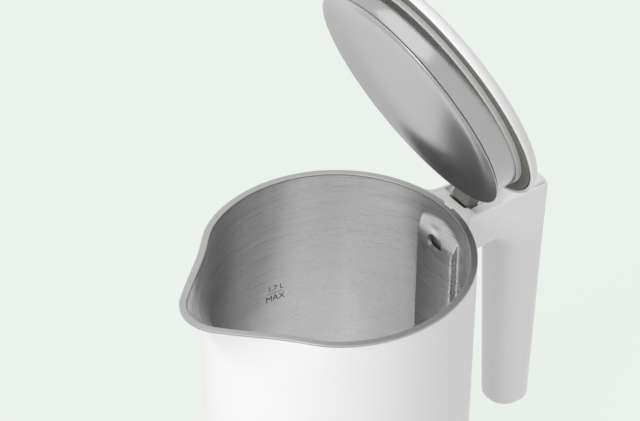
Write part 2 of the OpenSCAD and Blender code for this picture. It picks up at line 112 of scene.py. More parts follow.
# Makes a piece from points in millimetres and the faces between them.
def fromPoints(name, points, faces):
    sheet = bpy.data.meshes.new(name)
    sheet.from_pydata([[v * mm for v in point] for point in points], [], faces)
    piece = bpy.data.objects.new(name, sheet)
    scene.collection.objects.link(piece)
    takeUp(piece)
    return piece


# Extrudes a side outline of (x, height) points across the kettle, from y0 to y1.
def slab(name, outline, y0, y1):
    piece = fromPoints(name, [(x, y0, z) for x, z in outline], [range(len(outline))])
    bpy.ops.object.mode_set(mode="EDIT")
    bpy.ops.mesh.select_all(action="SELECT")
    bpy.ops.mesh.extrude_region_move(TRANSFORM_OT_translate={"value": (0, (y1 - y0) * mm, 0)})
    tidyFaces()
    return piece


# Box between two corners, in millimetres.
def block(name, low, high):
    clearSelection()
    middle = [(a + b) / 2 * mm for a, b in zip(low, high)]
    bpy.ops.mesh.primitive_cube_add(size=1, location=middle)
    piece = bpy.context.object
    piece.name = piece.data.name = name
    bpy.ops.transform.resize(value=[(b - a) * mm for a, b in zip(low, high)])
    bpy.ops.object.transform_apply(location=True, rotation=True, scale=True)
    return piece


# Round bar about its middle, along the named axis.
def rod(name, middle, radius, length, axis, segments=48):
    clearSelection()
    turn = {"X": (0, math.pi / 2, 0), "Y": (math.pi / 2, 0, 0), "Z": (0, 0, 0)}[axis]
    bpy.ops.mesh.primitive_cylinder_add(vertices=segments, radius=radius * mm, depth=length * mm,
        location=[v * mm for v in middle], rotation=turn)
    piece = bpy.context.object
    piece.name = piece.data.name = name
    bpy.ops.object.transform_apply(location=True, rotation=True, scale=True)
    return piece


# Rounds every edge sharper than the angle.
def roundEdges(piece, width, steps=3, angle=35):
    takeUp(piece)
    bevel = piece.modifiers.new("round", "BEVEL")
    bevel.width = width * mm
    bevel.segments = steps
    bevel.limit_method = "ANGLE"
    bevel.angle_limit = math.radians(angle)
    bpy.ops.object.modifier_apply(modifier=bevel.name)


# Cuts one piece with another, or joins the two; the second is used up.
def cutAway(piece, cutter, operation="DIFFERENCE"):
    takeUp(piece)
    cut = piece.modifiers.new("cut", "BOOLEAN")
    cut.operation = operation
    cut.solver = "EXACT"
    cut.object = cutter
    bpy.ops.object.modifier_apply(modifier=cut.name)
    bpy.data.objects.remove(cutter)


# Moves every vertex of a piece to where the rule sends it, in millimetres.
def reshape(piece, rule):
    for corner in piece.data.vertices:
        corner.co = Vector(rule(*(corner.co / mm))) * mm
    piece.data.update()


def arc(x, z, radius, start, end, steps):
    angles = [math.radians(start + (end - start) * i / steps) for i in range(steps + 1)]
    return [(x + radius * math.cos(a), z + radius * math.sin(a)) for a in angles]


# Shades a finished piece, gives it its finish and places it in the frame.
def finishPiece(piece, body, finish, nodes=(), smoothAngle=35):
    takeUp(piece)
    bpy.ops.object.shade_smooth_by_angle(angle=math.radians(smoothAngle))
    piece.data.materials.clear()
    piece.data.materials.append(finishes[finish])
    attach(piece, body)
    if nodes:
        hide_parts(*nodes)


class Wire:
    def __init__(self, tree, socket=None):
        self.tree = tree
        self.socket = socket

    # Adds a node: its type, its settings and what its sockets take.
    def add(self, kind, settings=None, sockets=None):
        node = self.tree.nodes.new("ShaderNode" + kind)
        for key, value in (settings or {}).items():
            setattr(node, key, value)
        for key, value in (sockets or {}).items():
            if isinstance(value, Wire):
                self.tree.links.new(value.socket, node.inputs[key])
            else:
                node.inputs[key].default_value = value
        return Wire(self.tree, node.outputs[0] if len(node.outputs) else None)

    def out(self, key):
        return Wire(self.tree, self.socket.node.outputs[key])

    def math(self, operation, first, second):
        return self.add("Math", {"operation": operation}, {0: first, 1: second})

    def __add__(self, other):
        return self.math("ADD", self, other)

    def __radd__(self, other):
        return self.math("ADD", other, self)

    def __sub__(self, other):
        return self.math("SUBTRACT", self, other)

    def __rsub__(self, other):
        return self.math("SUBTRACT", other, self)

    def __mul__(self, other):
        return self.math("MULTIPLY", self, other)

    def __rmul__(self, other):
        return self.math("MULTIPLY", other, self)


def startFinish(name):
    material = bpy.data.materials.new(name)
    material.use_nodes = True
    material.node_tree.nodes.clear()
    finishes[name] = material
    return Wire(material.node_tree)


def endFinish(wire, sockets):
    shader = wire.add("BsdfPrincipled", {}, sockets)
    wire.add("OutputMaterial", {}, {"Surface": shader})


def objectPlace(wire, scale=(1, 1, 1)):
    place = wire.add("TexCoord").out("Object")
    return wire.add("Mapping", {}, {"Vector": place, "Scale": scale})


def shade(value, alpha=1.0):
    if isinstance(value, (int, float)):
        return (value, value, value, alpha)
    return (*value, alpha)


# The Mix node takes its two colours at sockets 6 and 7, and gives the mixed one at 2.
def mixColours(wire, amount, first, second):
    return wire.add("Mix", {"data_type": "RGBA"}, {0: amount, 6: first, 7: second}).out(2)


# Mixes two shaders, from the first to the second.
def mixShaders(wire, amount, first, second):
    return wire.add("MixShader", {}, {"Fac": amount, 1: first, 2: second})


def noise(wire, scale, stretch=(1, 1, 1), detail=3.0, roughness=0.5):
    return wire.add("TexNoise", {}, {"Vector": objectPlace(wire, stretch), "Scale": scale,
        "Detail": detail, "Roughness": roughness})


def bump(wire, height, strength, distance):
    return wire.add("Bump", {}, {"Height": height, "Strength": strength, "Distance": distance})


plastic = {"index": 1.46, "cloudScale": 22, "cloudRough": 0.06, "grainRough": 0.05, "grainBump": 0.5}


# Moulded plastic: a fine grain in the surface and faint clouds of tone.
def plasticFinish(name, light, dark, roughness, grain, grainSize, coat=0.0):
    wire = startFinish(name)
    clouds = noise(wire, plastic["cloudScale"], detail=4)
    colour = mixColours(wire, clouds, shade(dark), shade(light))
    fine = noise(wire, grainSize, detail=2)
    rough = roughness + plastic["cloudRough"] * (clouds - 0.5) + plastic["grainRough"] * (fine - 0.5)
    endFinish(wire, {"Base Color": colour, "Roughness": rough, "IOR": plastic["index"],
        "Coat Weight": coat, "Normal": bump(wire, fine, plastic["grainBump"], grain)})


metal = {"streakTone": 0.72, "patchTone": 0.28, "patchScale": 14, "streakRough": 0.10, "patchRough": 0.05,
    "streakBump": 0.35}


# Bare metal: fine streaks and soft patches change its tone and shine.
def steelFinish(name, light, dark, roughness, streakScale, anisotropic, streakDepth):
    wire = startFinish(name)
    streaks = noise(wire, streakScale, detail=4, roughness=0.65)
    patches = noise(wire, metal["patchScale"], detail=3)
    tone = metal["streakTone"] * streaks + metal["patchTone"] * patches
    colour = mixColours(wire, tone, shade(dark), shade(light))
    rough = roughness + metal["streakRough"] * (streaks - 0.5) + metal["patchRough"] * (patches - 0.5)
    endFinish(wire, {"Base Color": colour, "Metallic": 1.0, "Roughness": rough, "Anisotropic": anisotropic,
        "Normal": bump(wire, streaks, metal["streakBump"], streakDepth)})


brushed = {"levelStretch": (4, 4, 1500), "strokeStretch": (6, 6, 1700), "slant": (0.14, 0.2, 0),
    "patchScale": 12, "levelTone": 0.68, "strokeTone": 0.32, "patchTone": 0.25, "contrast": 2.4,
    "dark": 0.86, "light": 1.0, "rough": 0.29, "grainRough": 0.16, "strokePower": 6.0, "strokeGain": 9.0,
    "strokeRough": 0.06, "anisotropic": 0.7, "turn": 0.25, "strokeHeight": 0.3, "bump": 0.16,
    "depth": 0.000012}


# Brushed steel inside the vessel: the brush went round the axis, with slanting strokes over it.
def linerFinish(name):
    wire = startFinish(name)
    level = noise(wire, 1.0, brushed["levelStretch"], detail=2, roughness=0.6)
    place = wire.add("TexCoord").out("Object")
    slanted = wire.add("Mapping", {}, {"Vector": place, "Rotation": brushed["slant"]})
    stretched = wire.add("Mapping", {}, {"Vector": slanted, "Scale": brushed["strokeStretch"]})
    strokes = wire.add("TexNoise", {}, {"Vector": stretched, "Scale": 1.0, "Detail": 2.0, "Roughness": 0.6})
    patches = noise(wire, brushed["patchScale"], detail=3)
    mixed = brushed["levelTone"] * level + brushed["strokeTone"] * strokes
    grain = brushed["contrast"] * (mixed - 0.5) + 0.5
    tone = grain + brushed["patchTone"] * (patches - 0.5)
    colour = mixColours(wire, tone, shade(brushed["dark"]), shade(brushed["light"]))
    bright = wire.math("POWER", strokes, brushed["strokePower"]) * brushed["strokeGain"]
    rough = brushed["rough"] + brushed["grainRough"] * (grain - 0.5) + brushed["strokeRough"] * bright
    height = level + brushed["strokeHeight"] * strokes
    endFinish(wire, {"Base Color": colour, "Metallic": 1.0, "Roughness": rough,
        "Anisotropic": brushed["anisotropic"], "Anisotropic Rotation": brushed["turn"],
        "Normal": bump(wire, height, brushed["bump"], brushed["depth"])})


# Dark ink, a little worn.
def inkFinish(name):
    wire = startFinish(name)
    wear = noise(wire, 900, detail=3)
    ink = mixColours(wire, wear, shade(0.02), shade(0.07))
    endFinish(wire, {"Base Color": ink, "Roughness": 0.4 + 0.2 * wear})


finishes = {}


# Plastics: light and dark tone, roughness, depth and scale of the grain. Metals: light and dark tone,
# roughness, scale of the streaks, stretch of the shine and depth of the streaks.
def makeFinishes():
    plasticFinish("whitePlastic", (0.85, 0.85, 0.85), (0.825, 0.825, 0.825), 0.42, 0.00004, 2600)
    plasticFinish("whiteSatin", (0.86, 0.86, 0.86), (0.84, 0.84, 0.84), 0.36, 0.00004, 2600)
    plasticFinish("greyPlastic", (0.175, 0.175, 0.155), (0.145, 0.145, 0.125), 0.55, 0.0003, 1400)
    plasticFinish("sealRubber", (0.20, 0.20, 0.175), (0.11, 0.11, 0.095), 0.62, 0.0005, 900)
    plasticFinish("darkPlastic", (0.030, 0.030, 0.032), (0.020, 0.020, 0.022), 0.45, 0.00015, 1800)
    plasticFinish("rubber", (0.09, 0.09, 0.09), (0.06, 0.06, 0.06), 0.7, 0.0003, 1300)
    # The steam collar is real silicone; its near-black tone is painted shade for the darkness inside the
    # steam hole.
    plasticFinish("silicone", (0.05, 0.05, 0.05), (0.035, 0.035, 0.035), 0.5, 0.0001, 1600)
    plasticFinish("paleSilicone", (0.56, 0.56, 0.54), (0.50, 0.50, 0.485), 0.5, 0.00005, 1600)
    plasticFinish("lampPlastic", (0.10, 0.26, 0.72), (0.08, 0.21, 0.64), 0.15, 0.00002, 1500, coat=0.4)
    linerFinish("linerSteel")
    steelFinish("rimSteel", 0.50, 0.45, 0.38, 300, 0.3, 0.00002)
    steelFinish("polishedSteel", 0.50, 0.47, 0.17, 40, 0.0, 0.00002)
    steelFinish("plainSteel", 0.62, 0.52, 0.25, 700, 0.0, 0.00004)
    steelFinish("castAluminium", 0.66, 0.52, 0.45, 500, 0.0, 0.0002)
    steelFinish("brass", (0.72, 0.52, 0.25), (0.60, 0.41, 0.18), 0.28, 600, 0.0, 0.00004)
    inkFinish("levelPrint")


makeFinishes()
print("finishes made")


vessel = {"bodyR": 75.0, "linerR": 71.3, "bandT": 1.0, "noseX": 72.2, "noseR": 19.4, "depth": 36.0,
    "hollow": 1.4, "hollowSpan": 48, "fadeRate": 1.5, "leastFade": 0.05, "fadeCurve": 0.7,
    "blendCurve": 1.8, "lowZ": 20.4, "plainDepth": 40, "chamfer": 0.8, "wall": 2.2, "segments": 480}


# Distance from the axis to the mouth's outline, grow outside the liner's inner face.
def mouthReach(angle, grow):
    turn = abs(math.pi - abs(angle))
    body = vessel["linerR"] + grow
    nose = vessel["noseR"] + grow
    lean = math.acos((body - nose) / vessel["noseX"])
    noseEnd = math.atan2(nose * math.sin(lean), vessel["noseX"] + nose * math.cos(lean))
    if turn >= lean:
        reach = body
    elif turn > noseEnd:
        reach = body / math.cos(lean - turn)
    else:
        reach = vessel["noseX"] * math.cos(turn)
        reach += math.sqrt(nose * nose - (vessel["noseX"] * math.sin(turn)) ** 2)
    along = (turn - noseEnd) / math.radians(vessel["hollowSpan"])
    if 0 < along < 1:
        reach -= vessel["hollow"] * math.sin(math.pi * along) ** 2
    return reach


# Sends a point of the plain round wall out to the spouted one.
def spoutWall(x, y, z):
    radius = math.hypot(x, y)
    if radius < 1:
        return x, y, z
    angle = math.atan2(y, x)
    turn = abs(math.pi - abs(angle))
    fade = math.cos(min(turn * vessel["fadeRate"], math.pi / 2))
    depth = vessel["depth"] * max(vessel["leastFade"], fade) ** vessel["fadeCurve"]
    share = max(0.0, 1 + min(0.0, z - rimZ) / depth) ** vessel["blendCurve"]
    grow = radius - vessel["linerR"]
    wanted = radius + (mouthReach(angle, grow) - radius) * share
    return x * wanted / radius, y * wanted / radius, z


# Values from start to end, both included, in equal steps.
def evenly(start, end, count):
    return [start + (end - start) * i / count for i in range(count + 1)]


switchRoom = {"low": (66, -9, 29), "high": (80, 9, 41.5), "cornerR": 1.2, "lamp": (70, 0, 45), "lampR": 2.3,
    "lampReach": 20}


def makeOuterShell():
    low, chamfer = vessel["lowZ"], vessel["chamfer"]
    top, plain = rimZ - vessel["bandT"], rimZ - vessel["plainDepth"]
    inside = vessel["bodyR"] - vessel["wall"]
    outer = [(vessel["bodyR"], z) for z in evenly(low + chamfer, plain, 24)]
    outer += [(vessel["bodyR"], z) for z in evenly(plain + 1, top, 38)]
    inner = [(inside, z) for z in evenly(top, plain, 30)] + [(inside, low)]
    outline = [(vessel["bodyR"] - chamfer, low)] + outer + inner
    shell = turned("vesselWall", outline, vessel["segments"])
    reshape(shell, spoutWall)
    opening = block("opening", switchRoom["low"], switchRoom["high"])
    roundEdges(opening, switchRoom["cornerR"], 4)
    cutAway(shell, opening)
    cutAway(shell, rod("lampHole", switchRoom["lamp"], switchRoom["lampR"], switchRoom["lampReach"], "X"))
    finishPiece(shell, "kettle", "whitePlastic", ["outer_shell"])


band = {"edge": 0.35, "lip": -0.2, "skirt": -1.0, "follow": -0.2, "notchHalf": 3.35, "notchFront": 73.4,
    "notchRear": 78, "notchReach": 2}


def makeRim():
    width = vessel["bodyR"] - vessel["linerR"]
    edge, lip, skirt, half = band["edge"], band["lip"], band["skirt"], band["notchHalf"]
    outline = [(edge, skirt), (lip, skirt)] + arc(lip + edge, -edge, edge, 180, 90, 5)
    outline += [(width * k, 0) for k in (0.3, 0.5, 0.7)]
    outline += arc(width - edge, -edge, edge, 90, 0, 5) + [(width, skirt)]
    outline = [(vessel["linerR"] + grow, rimZ + z) for grow, z in outline]
    rim = turned("mouthRim", outline, vessel["segments"])
    reshape(rim, lambda x, y, z: spoutWall(x, y, max(z, rimZ + band["follow"]))[:2] + (z,))
    reach = band["notchReach"]
    cutAway(rim, block("notch", (band["notchFront"], -half, rimZ - reach),
        (band["notchRear"], half, rimZ + reach)))
    finishPiece(rim, "kettle", "rimSteel", ["rim_band"], 40)


column = {"half": 16.2, "face": 65.3, "soft": 1.8, "ridge": -21.4, "slope": 2.05, "leanSoft": 1.0,
    "wallSoft": 0.5, "wallShare": 0.4, "holeW": 12.7, "holeH": 7.6, "holeOut": 0.6, "holeDrop": 1.3,
    "holeReach": 10, "tilt": 13.0, "dimpleY": 3.3, "dimpleZ": -16.4, "dimple": 0.45, "dimpleW": 3.2,
    "dimpleH": 1.8}
floorPan = {"z": 50.0, "cornerR": 6.0, "sheet": 0.7, "topRow": 0.9}

# Rows of points down the liner: first and last depth below the rim, and the steps between them.
linerRows = ((1.6, 8, 5), (8.5, 25, 33), (26.5, 44, 12), (52, rimZ - floorPan["z"] - floorPan["cornerR"], 14))


# Outline of the liner seen from above, as points on the flat column and on the plain wall behind it.
def linerPlan():
    radius, half, soft = vessel["linerR"], column["half"], column["soft"]
    footX = math.sqrt((radius - soft) ** 2 - (half + soft) ** 2)
    start = math.atan2(half + soft, footX)
    front = [(column["face"], y) for y in evenly(0, half - soft, 7)[:-1]]
    front += arc(column["face"] + soft, half - soft, soft, 180, 90, 7)
    front += arc(footX, half + soft, soft, -90, math.degrees(start), 7)
    plan = [((x, y), (max(x, math.sqrt(radius * radius - y * y)), y)) for x, y in front]
    for angle in evenly(start, math.pi, 150)[1:]:
        spot = (radius * math.cos(angle), radius * math.sin(angle))
        plan.append((spot, spot))
    mirrored = [((a[0], -a[1]), (b[0], -b[1])) for a, b in reversed(plan[1:-1])]
    return plan + mirrored


# Value when positive, nothing when negative, with a rounded corner between.
def softStep(value, soft):
    return 0.5 * (value + math.sqrt(value * value + soft * soft))


# The column's face leans back to the wall above the ridge, and has a shallow dimple there.
def linerPoint(pair, z):
    (x, y), wallX = pair[0], pair[1][0]
    room = wallX - x
    if room < 0.02:
        return x, y, z
    lean = column["face"] + (z - rimZ - column["ridge"]) / column["slope"]
    x += softStep(lean - x, column["leanSoft"])
    aside = (y - column["dimpleY"]) / column["dimpleW"]
    above = (z - rimZ - column["dimpleZ"]) / column["dimpleH"]
    x += column["dimple"] * math.exp(-(aside ** 2 + above ** 2))
    soft = min(column["wallSoft"], column["wallShare"] * room)
    return wallX - softStep(wallX - x, soft), y, z


def makeLiner():
    floor, corner = floorPan["z"], floorPan["cornerR"]
    heights = [rimZ - floorPan["topRow"]]
    for first, last, count in linerRows:
        heights += evenly(rimZ - first, rimZ - last, count)
    plan = linerPlan()
    across = len(plan)
    points = []
    for z in heights:
        points += [spoutWall(*linerPoint(pair, z)) for pair in plan]
    bends = [(corner - x, floor + corner + z) for x, z in arc(0, 0, corner, 0, -90, 6)[1:]]
    for inset, z in bends + [(inset, floor) for inset in (20, 40, 58)]:
        for x, y in [pair[0] for pair in plan]:
            shrink = 1 - inset / math.hypot(x, y)
            points.append((x * shrink, y * shrink, z))
    rows = len(points) // across
    faces = []
    for row in range(rows - 1):
        for i in range(across):
            a, b = row * across + i, row * across + (i + 1) % across
            faces.append((a, a + across, b + across, b))
    last = (rows - 1) * across
    faces.append([last + i for i in range(across)])
    liner = fromPoints("linerSkin", points, faces)
    thick = liner.modifiers.new("thick", "SOLIDIFY")
    thick.thickness = floorPan["sheet"] * mm
    thick.offset = 1
    bpy.ops.object.modifier_apply(modifier=thick.name)
    tidyFaces()
    cutAway(liner, steamHoleCutter())
    finishPiece(liner, "kettle", "linerSteel", ["liner"], 50)


# A slot with round ends that opens the ridge of the column.
def steamHoleCutter():
    height, through = column["holeH"], column["holeReach"]
    half = (column["holeW"] - height) / 2
    slot = block("steamSlot", (-through / 2, -half, -height / 2), (through / 2, half, height / 2))
    for y in (-half, half):
        cutAway(slot, rod("slotEnd", (0, y, 0), height / 2, through, "X", 64), "UNION")
    tilt = math.radians(column["tilt"])
    middleX = column["face"] + column["holeOut"]
    middleZ = rimZ + column["ridge"] - column["holeDrop"]

    def rule(x, y, z):
        turnedX = x * math.cos(tilt) + z * math.sin(tilt)
        turnedZ = z * math.cos(tilt) - x * math.sin(tilt)
        return middleX + turnedX, y, middleZ + turnedZ

    reshape(slot, rule)
    return slot


fillMark = {"z": -78.9, "azimuth": 85.2, "half": 5.2, "line": 0.13, "gap": 0.8, "word": 4.2, "litres": 3.7,
    "shift": 0.4, "sink": 0.02, "thick": 0.12, "flatten": 0.4, "textScale": 1.4}


# Upper fill level: a line with plain capitals below it and the litres above it, printed on the wall.
def makeLevelMark():
    markZ, half, line, gap = rimZ + fillMark["z"], fillMark["half"], fillMark["line"], fillMark["gap"]
    middle = math.radians(fillMark["azimuth"])
    outline = [(-half, markZ - line), (half, markZ - line), (half, markZ + line), (-half, markZ + line)]
    pieces = [markText("levelWord", "MAX", fillMark["word"], 0, markZ - gap, "TOP"),
        markText("levelLitres", "1.7 L", fillMark["litres"], fillMark["shift"], markZ + gap, "BOTTOM"),
        slab("levelLine", outline, 0, fillMark["thick"])]
    takeUp(pieces[0])
    for piece in pieces:
        piece.select_set(True)
    bpy.ops.object.join()
    mark = bpy.context.object
    mark.name = mark.data.name = "levelMark"
    bpy.ops.object.mode_set(mode="EDIT")
    bpy.ops.mesh.select_all(action="SELECT")
    bpy.ops.mesh.subdivide(number_cuts=1)
    bpy.ops.object.mode_set(mode="OBJECT")

    def wrap(x, y, z):
        angle = middle - x / vessel["linerR"]
        reach = vessel["linerR"] - fillMark["sink"] - fillMark["flatten"] * y
        return reach * math.cos(angle), reach * math.sin(angle), z

    reshape(mark, wrap)
    tidyFaces()
    finishPiece(mark, "kettle", "levelPrint")


# Letters that stand on the plane y = 0 and face the camera's side.
def markText(name, words, height, x, z, anchor):
    clearSelection()
    bpy.ops.object.text_add(location=(x * mm, 0, z * mm), rotation=(math.pi / 2, 0, 0))
    letters = bpy.context.object
    letters.data.body = words
    letters.data.size = height * fillMark["textScale"] * mm
    letters.data.extrude = fillMark["thick"] / 2 * mm
    letters.data.align_x = "CENTER"
    letters.data.align_y = anchor
    letters.data.resolution_u = 3
    bpy.ops.object.convert(target="MESH")
    letters = bpy.context.object
    letters.name = letters.data.name = name
    bpy.ops.object.transform_apply(location=True, rotation=True, scale=True)
    return letters


makeOuterShell()
makeRim()
makeLiner()
makeLevelMark()
print("vessel made")


hinge = (96.3, 230.0)
lid = {"angle": 67.0, "segments": 240}


# Lifts an outline of (x, height) points to the rim.
def atRim(outline):
    return [(x, rimZ + z) for x, z in outline]


# Swings a closed lid piece open about the hinge.
def swingOpen(piece):
    takeUp(piece)
    bpy.ops.object.mode_set(mode="OBJECT")
    angle = math.radians(lid["angle"])

    def rule(x, y, z):
        dx, dz = x - hinge[0], z - hinge[1]
        turnedX = dx * math.cos(angle) + dz * math.sin(angle)
        turnedZ = dz * math.cos(angle) - dx * math.sin(angle)
        return hinge[0] + turnedX, y, hinge[1] + turnedZ

    reshape(piece, rule)


cover = {"r": 75.0, "edge": 6.0, "top": 7.0, "crown": 9.0, "wall": 2.0, "hoodHalf": 12.5, "hoodEdge": 0.6,
    "shroudR": 7.0, "shroudHalf": 7.25, "shroudWall": 0.5, "shroudTop": 3.4, "gapHalf": 6.8,
    "gapFront": 68, "gapRear": 78, "gapTop": 4.95}


def makeLidCover():
    r, edge, top, crown = cover["r"], cover["edge"], cover["top"], cover["crown"]
    outer = [(0, crown), (20, crown - 0.15), (45, crown - 0.75), (60, top + 0.45), (r - edge - 3, top + 0.12)]
    outer += arc(r - edge, top - edge, edge, 90, 0, 12)
    outer += [(r, 0.9), (r - 0.3, 0.5), (r - 1.7, 0.5), (r - 2, 0.8)]
    inner = arc(r - edge, top - edge, edge - cover["wall"], 0, 90, 8)
    inner += [(45, top - 0.8), (20, top - 0.2), (0, top)]
    shell = turnedSolid("lidCover", atRim(outer + inner), lid["segments"])
    outline = [(60, 5.2), (60, 6.9), (84, 6.6), (91, 6.0), (94.6, 4.9), (96, 3.8), (95.6, 3.3), (94, 3.4),
        (84, 5)]
    hood = slab("hood", atRim(outline), -cover["hoodHalf"], cover["hoodHalf"])
    roundEdges(hood, cover["hoodEdge"], 3, 50)
    cutAway(shell, hood, "UNION")
    addShroud(shell)
    half = cover["gapHalf"]
    cutAway(shell, block("neckGap", (cover["gapFront"], -half, rimZ - 1),
        (cover["gapRear"], half, rimZ + cover["gapTop"])))
    swingOpen(shell)
    finishPiece(shell, "lid", "whitePlastic", ["lid_cover"])


# White cheeks that close over the neck's hub at the hinge.
def addShroud(shell):
    half = cover["shroudHalf"]
    room = half - cover["shroudWall"]
    outline = atRim([(84.6, 5.6), (94.5, 4.6)]) + arc(hinge[0], hinge[1], cover["shroudR"], 78, -150, 22)
    outline += atRim([(86.4, -1.5), (86.0, 1.5), (85.2, 3.6)])
    shroud = slab("shroud", outline, -half, half)
    cutAway(shroud, block("shroudRoom", (70, -room, rimZ - 20), (110, room, rimZ + cover["shroudTop"])))
    cutAway(shell, shroud, "UNION")


neck = {"half": 6.7, "edge": 0.8, "hubR": 15.2, "boreR": 1.26, "boreReach": 30}


def makeLidFrame():
    ring = turned("lidFrame", atRim([(69.5, 2.95), (69.5, 4.85), (28, 4.85), (28, 2.95)]), lid["segments"])
    hx, hz = hinge
    outline = atRim([(60, 2.95), (60, 4.85), (78, 4.8), (hx - 4, 3.2), (hx, 2.4), (hx + 2.2, 1.2),
        (hx + 3.4, -0.6), (hx + 7.4, -3), (hx + 7, -6)])
    outline += arc(hx, hz, neck["hubR"], 235, 172, 24)
    outline += atRim([(80.4, 0.2), (79, 1.4), (77, 2.4), (73, 2.95)])
    arm = slab("neck", outline, -neck["half"], neck["half"])
    roundEdges(arm, neck["edge"], 3, 50)
    cutAway(arm, rod("pinBore", (hx, 0, hz), neck["boreR"], neck["boreReach"], "Y", 32))
    cutAway(ring, arm, "UNION")
    swingOpen(ring)
    finishPiece(ring, "lid", "greyPlastic", ["lid_frame"])


def makeLidSeal():
    outline = [(66.5, 2.8), (66.4, 0.9), (66.8, 0.4), (67.4, 0.3), (70, 0.3), (71.6, 0.3), (72.1, 0.5),
        (72.3, 0.9), (72.3, 2.2), (71.8, 2.75)]
    seal = turned("lidSeal", atRim(outline), lid["segments"])
    swingOpen(seal)
    finishPiece(seal, "lid", "sealRubber", ["lid_seal"], 50)


plug = {"r": 68.6, "z": -17.5, "sheet": 0.5, "shift": -2.2, "leanTop": -1.0, "leanSpan": 9.0, "segments": 360}


# Steel plug: an almost straight wall, a rolled lower edge and a dished face.
def makeLidPan():
    r, low, sheet = plug["r"], plug["z"], plug["sheet"]
    side = [(66.0, -0.6), (66.0, -3), (66.15, -6), (66.5, -10), (67.0, -13.5), (67.5, -15.6), (67.9, -16.5)]
    edge = [(r - 0.12, low + 0.62), (r, low + 0.35), (r - 0.1, low + 0.1), (r - 0.4, low)]
    face = [(r - 0.8, low + 0.05), (67.2, low + 0.18), (65.5, low + 0.5), (62, low + 1.3), (58, low + 2.35),
        (54, low + 3.3), (50, low + 4.0), (45, low + 4.5), (38, low + 4.8), (28, low + 5.0), (14, low + 5.15),
        (0, low + 5.2)]
    inner = [(x, z + sheet) for x, z in reversed(face[1:-1])]
    outline = [(0, low + 5.2 + sheet)] + inner + [(x - sheet, z + 0.6) for x, z in reversed(side)]
    outline += [(65.4, 2.85), (66.0, 2.85)] + side + edge + face
    pan = turnedSolid("lidPan", atRim(outline), plug["segments"])

    def lean(x, y, z):
        share = min(1.0, max(0.0, (rimZ + plug["leanTop"] - z) / plug["leanSpan"]))
        return x + plug["shift"] * share * share * (3 - 2 * share), y, z

    reshape(pan, lean)
    swingOpen(pan)
    finishPiece(pan, "lid", "polishedSteel", ["lid_pan"], 50)


# Pale lip of the seal round the top of the plug.
def makeSealLip():
    outline = [(66.05, 0.2), (66.05, -2.0), (66.1, -2.6), (66.3, -2.85), (66.55, -2.75), (66.75, -2.3),
        (66.9, -1.2), (66.95, 0.2)]
    lean, span = 0.5, 2.5
    lip = turned("sealLip", atRim(outline), lid["segments"])
    reshape(lip, lambda x, y, z: (x - lean * min(1.0, max(0.0, (rimZ - z) / span)), y, z))
    swingOpen(lip)
    finishPiece(lip, "lid", "paleSilicone", (), 50)


makeLidCover()
makeLidFrame()
makeLidSeal()
makeLidPan()
makeSealLip()
print("lid made")


handle = {"rear": 132.7, "root": 17.0, "arm": 15.5, "drop": 27.0, "cornerX": 95.7, "cornerR": 10.0, "armR": 6,
    "edgeR": 1.7, "gripX": 105.7, "taper": 4.9, "lean": 3.8, "gripHalf": 15.33, "endHalf": 12.9,
    "frontR": 11.9, "backR": 3.1, "endBackR": 10.6, "endZ": -163.3, "endR": 2.8, "flare": 8.0,
    "flareX": 71.2, "narrowX": 76, "narrowSpan": 26, "mouthGap": 0.03}


# One ring of the handle's skin: from inner point to outer point, half a width each side.
def handleRing(inner, outer, half, innerR, outerR, bend=9):
    depth = math.dist(inner, outer)
    flat = []
    corners = ((innerR, half - innerR, innerR, 180), (depth - outerR, half - outerR, outerR, 90),
        (depth - outerR, -half + outerR, outerR, 0), (innerR, -half + innerR, innerR, -90))
    for cx, cy, r, start in corners:
        flat += [(cx + r * math.cos(math.radians(start - 90 * i / bend)),
            cy + r * math.sin(math.radians(start - 90 * i / bend))) for i in range(bend + 1)]
    ring = []
    for i, (d, y) in enumerate(flat):
        d2, y2 = flat[(i + 1) % len(flat)]
        parts = 6 if (i + 1) % (bend + 1) == 0 else 1
        for k in range(parts):
            share = k / parts
            ring.append((d + (d2 - d) * share, y + (y2 - y) * share))
    ux, uz = (outer[0] - inner[0]) / depth, (outer[1] - inner[1]) / depth
    return [(inner[0] + ux * d, y, rimZ + inner[1] + uz * d) for d, y in ring]


# One ring of the grip at a height below the rim, drawn in by tuck.
def gripRing(z, tuck):
    top = -handle["drop"] - handle["cornerR"]
    down = (z - top) / (handle["endZ"] - top)
    inner = (handle["gripX"] + handle["taper"] * down + tuck, z)
    outer = (handle["rear"] + handle["lean"] * down - tuck, z)
    half = handle["gripHalf"] + (handle["endHalf"] - handle["gripHalf"]) * down - tuck
    backR = handle["backR"] + (handle["endBackR"] - handle["backR"]) * down - tuck
    return handleRing(inner, outer, half, handle["frontR"] - tuck, backR)


